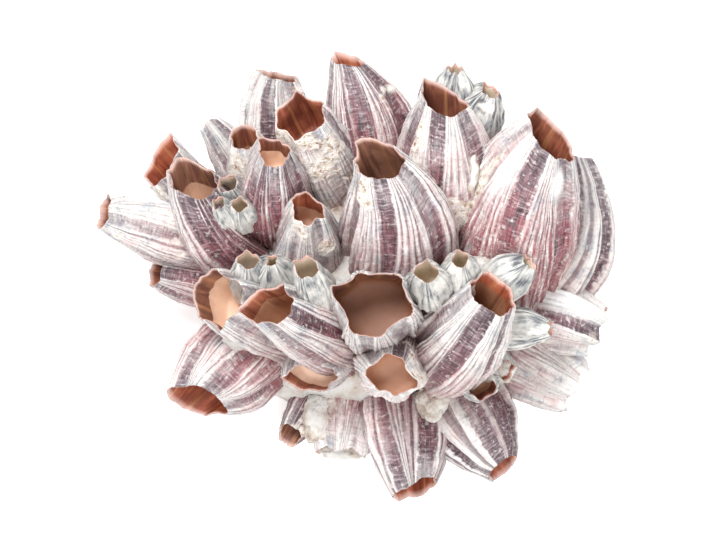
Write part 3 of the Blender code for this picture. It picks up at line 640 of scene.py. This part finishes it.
# Tall barnacles behind them, up to 65 mm long. They are the same kind of shell, less crowded, so their lower
# walls spread wide and keep their rose-red grooves.
TALL = (
    seen_barnacle("centre_tall_barnacle", "mauve_shell", 82, (15, 1, 38), 20, 16,
                  outline=((355, 143), (361, 141), (368, 138), (376, 141), (383, 145), (394, 151),
                           (401, 158), (402, 165), (398, 176), (387, 179), (376, 181), (367, 177),
                           (357, 174), (356, 155)), own_tilt=0.5, belly_at=0.36, bow=(3, 0, 3), turn=13,
                  bands=(0.8, 0.6, 0.6, 0.6, 0.6, 1.0), panels=(0.75, 0.8, 0.6, 0.6, 0.6, 0.4), blush=0.55,
                  chalk=0.15, crust=((-50, 0.9, 20, 0.12),), sheath=22, warmth=0.1, light=0.2),
    seen_barnacle("egg_barnacle", "mauve_shell", 70, (-30, 16, 36), 12.4, 7,
                  outline=((258, 140), (263, 138), (278, 141), (289, 146), (288, 156), (282, 165),
                           (275, 169), (266, 166), (259, 158)), own_tilt=0.3, belly_at=0.42, turn=-25,
                  ridge=1.2, bands=(1.0, 0.9, 0.6, 0.6, 0.4, 0.6), panels=(0.9, 1.0, 0.6, 0.6, 0.4, 0.4),
                  blush=1.0, chalk=0.05, sheath=7, warmth=0.4, light=0.85, depth=0.3),
    seen_barnacle("inner_left_barnacle", "rose_shell", 72, (-18, 2, 36), 12.4, 11,
                  outline=((294, 202), (296, 195), (305, 193), (316, 199), (324, 208), (323, 218),
                           (316, 219), (311, 225), (304, 224), (302, 221), (296, 219)), own_tilt=0.3,
                  belly_at=0.36, bands=(0.4,), panels=(0.4,), blush=0.4, chalk=0.4, sheath=9, warmth=0.9,
                  light=0.6, depth=0.38),
    seen_barnacle("giant_barnacle", "rose_shell", 60, (52, -2, 26), 22, 18,
                  outline=((528, 115), (537, 107), (546, 115), (558, 126), (571, 145), (571, 154),
                           (569, 163), (565, 159), (555, 158), (539, 149), (534, 138), (530, 128)),
                  own_tilt=0.8, belly_at=0.34, bow=(-2, 2, 4), turn=30, ribs=6,
                  bands=(0.8, 0.6, 0.6, 0.6, 0.5, 1.0), panels=(0.6, 0.7, 0.6, 0.6, 0.4, 0.3), blush=1.0,
                  chalk=0.12, white=((44, 0.84, 14, 0.10), (-35, 0.8, 12, 0.16)),
                  crust=((-62, 0.62, 16, 0.28),), sheath=16, warmth=0.6, light=0.5),
    seen_barnacle("north_tall_barnacle", "rose_shell", 58, (31, 18, 28), 18.5, 14,
                  outline=((421, 83), (424, 79), (437, 83), (449, 90), (457, 97), (467, 102), (465, 110),
                           (457, 115), (448, 118), (435, 115), (428, 106), (422, 97)), own_tilt=0.6,
                  belly_at=0.42, bow=(0, 0, 3), turn=22, ribs=6, bands=(0.7, 0.5, 0.5, 0.5, 0.6, 1.0),
                  panels=(0.35, 0.4, 0.4, 0.4, 0.4, 0.15), blush=0.75, chalk=0.2,
                  crust=((-38, 0.7, 18, 0.2), (45, 0.55, 20, 0.2), (15, 0.3, 40, 0.15)), sheath=20,
                  warmth=0.4, light=0.4),
    seen_barnacle("diamond_barnacle", "pale_shell", 58, (-7, 30, 26), 12.5, 12,
                  outline=((277, 123), (281, 107), (296, 91), (307, 97), (322, 104), (325, 115), (321, 126),
                           (316, 132), (305, 133), (295, 138), (284, 129)), own_tilt=0.2, turn=40,
                  bands=(0.7, 0.6, 0.3, 0.3, 0.3, 0.3), panels=(0.3,), blush=0.1, chalk=0.5, depth=0.38,
                  sheath=25, warmth=0.7),
    seen_barnacle("open_left_barnacle", "mauve_shell", 64, (-24, -18, 30), 13.4, 13,
                  outline=((193, 298), (200, 275), (217, 270), (230, 278), (243, 285), (247, 292),
                           (242, 300), (240, 310), (230, 317), (220, 328), (207, 320), (197, 310)),
                  own_tilt=0.4, bands=(0.6, 0.5), panels=(0.4,), blush=0.5, sheath=9, warmth=0.2, light=0.8,
                  depth=0.4),
    seen_barnacle("dark_striped_barnacle", "plum_shell", 54, (-38, 6, 26), 14, 13,
                  outline=((170, 170), (175, 158), (184, 158), (194, 161), (207, 169), (215, 176),
                           (216, 187), (212, 195), (203, 199), (192, 198), (178, 191), (172, 184)),
                  own_tilt=0.6, belly_at=0.42, bow=(-2, -2, 2), turn=2, ribs=4, ridge=1.4,
                  bands=(1.0, 0.9, 0.7, 0.7, 0.7, 1.0), panels=(1.0, 1.0, 1.0, 0.9, 0.6, 0.6), blush=0.6,
                  chalk=0.05, sheath=10, warmth=0.1, light=0.6),
    seen_barnacle("downward_barnacle", "pale_shell", 57, (-7, -20, 32), 11.5, 11,
                  outline=((283, 377), (290, 370), (297, 367), (325, 366), (336, 368), (335, 376),
                           (328, 386), (320, 391), (310, 389), (297, 388), (289, 383)), own_tilt=0.75,
                  belly_at=0.5, bands=(0.4,), panels=(0.4,), blush=0.4, sheath=6, warmth=0.6, light=0.85,
                  depth=0.3),
)
for number, shell in enumerate(TALL, 30):
    barnacle(shell, number, [calcite, nacre], 70, 30, 10, 14)


# Barnacles of the outer ring. They lean outwards, and some are broken or worn.
def round_rim(radius, corners, turn, slant, slant_turn, tooth):
    """Rim corners: every other one is a tooth, on a plane that is high on the slant's side.

    The radius goes up and down by a tenth, twice round, so that no opening is a regular star.
    """
    turns = sorted((turn + 180 * corner / corners) % 360 for corner in range(2 * corners))
    heights = (slant * math.cos(math.radians(at - slant_turn)) for at in turns)
    notch = (round((at - turn) * corners / 180) % 2 for at in turns)
    return tuple((at, radius * (1 - 0.1 * cut + 0.1 * math.sin(math.radians(2 * at) + 7 * radius)),
                  height + tooth * (1 - 2 * cut) / 2) for at, height, cut in zip(turns, heights, notch))


RING = (
    seen_barnacle("peak_barnacle", "mauve_shell", 38, (8, 28, 20), 16.2, 12,
                  outline=((334, 60), (338, 52), (347, 54), (357, 58), (365, 65), (362, 69), (342, 65),
                           (336, 63)), own_tilt=0.8, moved=(-1, 1), belly_at=0.55, bow=(3, -1, 2), turn=17,
                  ribs=6, bands=(1.0, 0.7, 0.5, 0.5, 0.7, 1.0), panels=(0.9,), blush=1.0, sheath=20,
                  warmth=0.8),
    seen_barnacle("left_peak_barnacle", "mauve_shell", 32, (-21, 30, 18), 13.4, 11,
                  outline=((261, 71), (281, 74), (299, 78), (301, 84), (292, 84), (287, 81), (279, 81),
                           (267, 76)), own_tilt=0.95, moved=(-2, 1), bow=(-3, 0, -1), turn=11, ribs=4,
                  bands=(0.6, 0.5, 0.5, 0.5, 0.5, 0.9), panels=(0.3,), blush=0.2, sheath=20, warmth=0.3),
    Barnacle("grey_shouldered_barnacle", "pale_shell", (-41, 50, 44), (-33, 20, 22), 10.6, 10,
             round_rim(5.6, 5, 0, 1.5, 180, 0.8), bands=(0.5,), panels=(0.4,), blush=0.1, chalk=0.45),
    seen_barnacle("torn_left_barnacle", "mauve_shell", 37, (-49, 17, 15), 9.8, 9,
                  outline=((142, 176), (149, 161), (157, 143), (168, 134), (174, 141), (177, 152),
                           (172, 161), (165, 176), (155, 184), (146, 182)), own_tilt=0.85, belly_at=0.5,
                  bands=(0.6,), panels=(0.5,), sheath=22, warmth=1.0),
    Barnacle("left_barnacle", "pale_shell", (-92, 23, 29), (-48, 12, 20), 14, 12,
             round_rim(6.6, 5, 20, 2.0, 200, 1.2), bow=(0, 1, 2), turn=20, ribs=6,
             bands=(0.25, 0.1, 0.3, 0.3, 0.5, 0.5), panels=(0.25, 0.1, 0.3, 0.3, 0.5, 0.5), blush=0.35,
             chalk=0.3, white=((60, 0.45, 40, 0.35),)),
    Barnacle("low_left_barnacle", "rose_shell", (-73.5, 1.5, 22), (-42, -4, 16), 9.8, 9,
             round_rim(6.4, 6, 0, 1.0, 180, 0.8), turn=30, bands=(1.0, 0.8, 0.5, 0.5, 0.8, 1.0),
             panels=(0.8,), blush=1.0),
    seen_barnacle("bottom_left_barnacle", "mauve_shell", 32, (-33, -20, 20), 16.8, 14,
                  outline=((167, 393), (180, 387), (200, 386), (217, 395), (228, 410), (223, 413),
                           (207, 417), (183, 410), (170, 400)), own_tilt=0.9, moved=(-1, 0), belly_at=0.5,
                  bow=(-1, -1, 3), turn=26, bands=(1.0, 0.8, 0.5, 0.5, 0.7, 0.9), panels=(0.45, 0.35),
                  blush=0.9, sheath=25, warmth=1.0),
    seen_barnacle("bottom_barnacle", "mauve_shell", 28, (16, -36, 18), 15.2, 13,
                  outline=((393, 495), (397, 489), (408, 484), (417, 478), (422, 473), (433, 473),
                           (436, 480), (429, 489), (419, 495), (410, 494), (401, 499)), own_tilt=0.85,
                  moved=(-0.5, -1.5), bow=(0, 0, 3), turn=4, ribs=4, bands=(1.0, 0.8, 0.6, 0.6, 0.8, 1.0),
                  panels=(0.7,), blush=0.5, sheath=22, warmth=1.0, light=0.6),
    seen_barnacle("bottom_right_barnacle", "mauve_shell", 26, (31, -36, 18), 15.4, 13,
                  outline=((488, 471), (490, 466), (499, 458), (508, 452), (514, 453), (512, 462),
                           (504, 471), (492, 478)), own_tilt=0.8, moved=(1, -1.5), belly_at=0.4,
                  bow=(0, -1, 3), turn=-40, ribs=2, ridge=1.6, bands=(1.0, 0.8, 0.5, 0.5, 0.5, 1.0),
                  panels=(1.0, 0.6, 0.7, 0.6, 0.6, 0.9), blush=0.2, chalk=0.1, sheath=20, warmth=0.9),
    Barnacle("broken_wall_barnacle", "rose_shell", (-6, -64, 20), (-3, -36, 14), 12.5, 11,
             round_rim(10.2, 6, 10, 1.0, 0, 2.5), belly_at=0.5, ribs=6, bands=(0.3,), panels=(0.3,),
             blush=1.0, chalk=0.35),
    Barnacle("right_fan_barnacle", "pale_shell", (86, -20, 26), (52, -12, 18), 13.4, 12,
             round_rim(9.4, 6, 20, 1.0, 0, 2.5), bow=(0, 2, 3), turn=-25, ribs=4, bands=(0.8, 0.1),
             panels=(0.15,), blush=0.5, chalk=0.35, white=((-30, 0.5, 20, 0.5),)),
    Barnacle("lower_right_fan_barnacle", "pale_shell", (79, -41, 21), (46, -22, 16), 13, 11,
             round_rim(9.6, 6, 0, 1.0, 0, 2.5), turn=30, bands=(0.05,), panels=(0.1,), blush=0.6,
             chalk=0.25),
    Barnacle("far_right_barnacle", "mauve_shell", (78, 40, 26), (58, -10, 18), 15, 13,
             round_rim(7.0, 5, 0, 4.0, 0, 1.0), bow=(8, -5, 0), turn=30, ribs=3, ridge=1.3, bands=(0.75,),
             panels=(0.6,), blush=0.1, chalk=0.1),
    Barnacle("hidden_left_barnacle", "mauve_shell", (-53, 54, 27), (-35, 30, 18), 8.4, 8,
             round_rim(4.6, 5, 0, 4.0, 0, 1.0), bands=(0.6,), panels=(0.4,)),
    Barnacle("brown_tip_barnacle", "plum_shell", (-25, -58, 18), (-12, -38, 14), 7.4, 7,
             round_rim(4.6, 5, 0, 3.0, 180, 1.0), bands=(0.9,), panels=(0.9,), blush=0.4, chalk=0.3,
             warmth=0.2),
)
for number, shell in enumerate(RING, 50):
    barnacle(shell, number, [calcite, nacre], 52, 24, 8, 10)


# Crust that fills the gaps between the shells: shell cement, worm tubes and broken barnacle bases, all of it
# cream-white calcite. Each patch is a knobbly lump sunk in the shells that it joins.
CRUST_ROWS = 36
CRUST_COLUMNS = 64


def crust_lump(name, centre, half_size, seed):
    """An ellipsoid whose radius is 1 plus noise of three sizes."""
    rise, turn = np.meshgrid(np.linspace(-0.49 * np.pi, 0.49 * np.pi, CRUST_ROWS),
                             np.linspace(0, 2 * np.pi, CRUST_COLUMNS + 1)[:-1], indexing="ij")
    way = np.stack([np.cos(rise) * np.cos(turn), np.cos(rise) * np.sin(turn), np.sin(rise)], axis=-1)
    base = way * half_size
    knobs = 1 + 0.2 * grain(base, 4.5, seed) + 0.16 * grain(base, 2, seed + 1)
    knobs = knobs + 0.09 * grain(base, 0.8, seed + 2)
    points = base * knobs[..., None] + centre
    plain = np.zeros((CRUST_ROWS, CRUST_COLUMNS + 1))
    paint = np.zeros((CRUST_ROWS, CRUST_COLUMNS, 8))
    piece = closed_piece(name, points, paint, plain, plain, [cement], CRUST_ROWS)


CRUSTS = (
    ("north", (39.5, 38, 58), (4, 7, 4)),
    ("middle", (-13, 11, 62), (5, 4, 4)),
    ("below_middle", (27, -45, 43), (6, 7, 6)),
    ("broken_wall", (-13.5, -51, 23), (6, 10, 5)),
    ("broken_wall_end", (-5, -63.5, 18), (10, 3, 5)),
    ("dark_striped", (-34.5, 21.5, 52), (4, 5, 5)),
    ("open_left", (-43, -23, 44), (5, 4, 5)),
    ("right", (43, 3, 60), (6, 4, 5)),
    ("crushed", (50, -33, 44), (7, 6, 6)),
)
for number, (place, centre, half_size) in enumerate(CRUSTS):
    crust_lump(f"crust_{place}", np.array(centre), np.array(half_size), 200 + 3 * number)


# Young barnacles that settled on the grown ones. Their four plates are thin and slate grey over white, with
# a toothed rim, and the lining is cream.
slate = new_material("grey young calcite")
wall = add(slate, "Attribute", attribute_name="wall").node.outputs
groove, stain = add(slate, "SeparateColor", {"Color": wall["Color"]}).node.outputs[1:]
cover = add(slate, "Attribute", attribute_name="cover").node.outputs
chalk, height = add(slate, "SeparateColor", {"Color": cover["Color"]}).node.outputs[:2]
wall_map = add(slate, "UVMap", uv_map="along the wall")
# Slate patches about 3 mm long, darkest near the tips, and lines of a third of a millimetre
patch_way = add(slate, "Mapping", {"Vector": wall_map, "Scale": (6.0, 14.0, 1.0)})
patches = add(slate, "TexNoise", {"Vector": patch_way, "Scale": 1.0, "Detail": 5.0, "Roughness": 0.6})
line_way = add(slate, "Mapping", {"Vector": wall_map, "Scale": (34.0, 9.0, 1.0)})
lines = add(slate, "TexNoise", {"Vector": line_way, "Scale": 1.0, "Detail": 2.0})
grey = add(slate, "MapRange", {0: patches, 1: 0.38, 2: 0.66})
near_tip = add(slate, "MapRange", {0: height, 1: 0.1, 2: 0.8, 3: 0.15, 4: 1.0})
grey = add(slate, "Math", {0: grey, 1: near_tip}, operation="MULTIPLY")
in_lines = add(slate, "MapRange", {0: lines, 1: 0.35, 2: 0.6, 3: 0.7, 4: 1.05})
grey = add(slate, "Math", {0: grey, 1: in_lines}, operation="MULTIPLY")
how_grey = add(slate, "MapRange", {0: stain, 3: 0.5, 4: 1.6})
grey = add(slate, "Math", {0: grey, 1: how_grey}, operation="MULTIPLY")
in_groove = add(slate, "MapRange", {0: groove, 1: 0.3, 2: 0.9, 4: 0.35})
grey = add(slate, "Math", {0: grey, 1: in_groove}, operation="ADD", use_clamp=True)
tone = add(slate, "ValToRGB", {"Fac": grey},
           stops=((0.0, "E6E2DB"), (0.35, "C2C1BD"), (0.7, "8E9092"), (1.0, "57575C")))
colour = add(slate, "Mix", {0: chalk, 6: tone, 7: linear("EFE9DF")}, 2, data_type="RGBA")
relief = add(slate, "Bump", {"Height": lines, "Strength": 0.6, "Distance": 0.0004})
glaze = add(slate, "BsdfPrincipled", {"Base Color": colour, "Roughness": 0.65, "Normal": relief})
add(slate, "OutputMaterial", {"Surface": glaze})


def young(name, mouth, foot, mouth_r, belly_r, turn=0.0, tooth=1.2, sheath=1.0, light=1.0, grey=0.5):
    """A young shell: a short cone of four plates, whose rim has six teeth."""
    rim = round_rim(mouth_r, 6, turn, 0.0, 0.0, tooth)
    return Barnacle(name, "grey_shell", mouth, foot, belly_r, 0.85 * belly_r, rim, turn=turn, depth=0.6,
                    plates=4, ribs=4, bands=(grey,), panels=(grey,), chalk=0.2, sheath=sheath, warmth=0.8,
                    light=light)


YOUNG = (
    young("young_barnacle_back_a", (35, 74.5, 42), (34, 58, 30), 2.6, 7.4, tooth=1.8, grey=1.0),
    young("young_barnacle_back_b", (47.5, 67, 42), (41, 52, 30), 3.6, 9.0, 45, 1.2, grey=1.0),
    young("young_barnacle_notch", (-47, 33, 58), (-43, 26, 42), 3.4, 5.4, 20),
    young("young_barnacle_pearl_a", (-42.5, 25.5, 66), (-40, 20, 50), 2.6, 5.2),
    young("young_barnacle_pearl_b", (-50, 26, 63), (-46, 19, 50), 2.2, 4.6, 30),
    young("young_barnacle_left_a", (-39.5, 5.5, 64), (-38, -6, 46), 3.6, 7.0),
    young("young_barnacle_left_b", (-30.8, 5.6, 66), (-28, -4, 48), 2.2, 7.6, 30, 0.5),
    young("young_barnacle_middle", (-18, 3, 82), (-13, -12, 60), 4.6, 7.4, 45, 2.2),
    young("young_barnacle_right_a", (24.3, 1.3, 90), (26, -6, 70), 4.4, 7.4),
    young("young_barnacle_right_b", (36.5, 6, 84), (36, -3, 66), 3.0, 7.0, 20, 0.8),
    young("young_barnacle_slope", (61, 5, 68), (48, -4, 60), 3.2, 7.6, 10, grey=0.8),
    young("young_barnacle_shelf", (69, -19, 58), (50, -19, 54), 3.0, 7.4, 45, grey=1.0),
    young("young_barnacle_crushed", (44.5, -40, 57), (41, -35, 42), 5.2, 7.4, tooth=0.8, sheath=8, light=0.5),
    young("young_barnacle_ledge", (53, -34, 52), (44, -29, 42), 4.0, 6.8, 45, sheath=8, light=0.1),
)
for number, shell in enumerate(YOUNG, 80):
    barnacle(shell, number, [slate, nacre], 30, 16, 6, 8)


# Floor, light and camera. The floor is a white sheet lit from all sides, and the camera looks straight down
# on the cluster through a long lens.
paper = new_material("white paper")
sheet = add(paper, "BsdfPrincipled", {"Base Color": linear("FFFFFF"), "Roughness": 0.9,
                                      "Emission Color": linear("FFFFFF"), "Emission Strength": 0.3})
add(paper, "OutputMaterial", {"Surface": sheet})
FLOOR_HALF = 4.0  # half the sheet's width, in metres
floor_mesh = bpy.data.meshes.new("floor")
floor_corners = [(x * FLOOR_HALF, y * FLOOR_HALF, 0) for x, y in ((-1, -1), (1, -1), (1, 1), (-1, 1))]
floor_mesh.from_pydata(floor_corners, [], [(0, 1, 2, 3)])
floor_mesh.materials.append(paper)
floor_sheet = bpy.data.objects.new("floor", floor_mesh)
bpy.context.scene.collection.objects.link(floor_sheet)

world = bpy.data.worlds.new("studio")
bpy.context.scene.world = world
world.use_nodes = True
world.node_tree.nodes["Background"].inputs["Color"].default_value = linear("FFFFFF")
world.node_tree.nodes["Background"].inputs["Strength"].default_value = 0.85


def softbox(name, place, size, power):
    """A square area light at a place in metres that faces the middle of the cluster."""
    lamp = bpy.data.lights.new(name, "AREA")
    lamp.size = size
    lamp.energy = power
    holder = bpy.data.objects.new(name, lamp)
    holder.location = place
    way = np.array([0, 0, 0.05]) - place  # the middle of the cluster is 50 mm up
    from_down = math.acos(-way[2] / np.linalg.norm(way))
    holder.rotation_euler = (from_down, 0, math.atan2(way[1], way[0]) - math.pi / 2)
    bpy.context.scene.collection.objects.link(holder)


softbox("key", (-0.25, 0.45, 0.9), 0.3, 9.0)
softbox("fill", (0.15, -0.5, 1.1), 0.5, 6.5)

LENS_MM = 400
SENSOR_MM = 36
AIM_HEIGHT = 0.05  # in metres: the level that the view's width is measured at
VIEW_WIDTH = 0.2578  # of the photo at that level, in metres
VIEW_MIDDLE = 0.00216  # how far up the photo the view's middle is from the frame's origin, in metres

lens = bpy.data.cameras.new("camera")
lens.lens = LENS_MM
lens.clip_start = 0.01
lens.clip_end = 20
camera = bpy.data.objects.new("camera", lens)
camera.location = (0, VIEW_MIDDLE, AIM_HEIGHT + VIEW_WIDTH * LENS_MM / SENSOR_MM)
bpy.context.scene.collection.objects.link(camera)
bpy.context.scene.camera = camera
bpy.context.scene.view_settings.view_transform = "Standard"
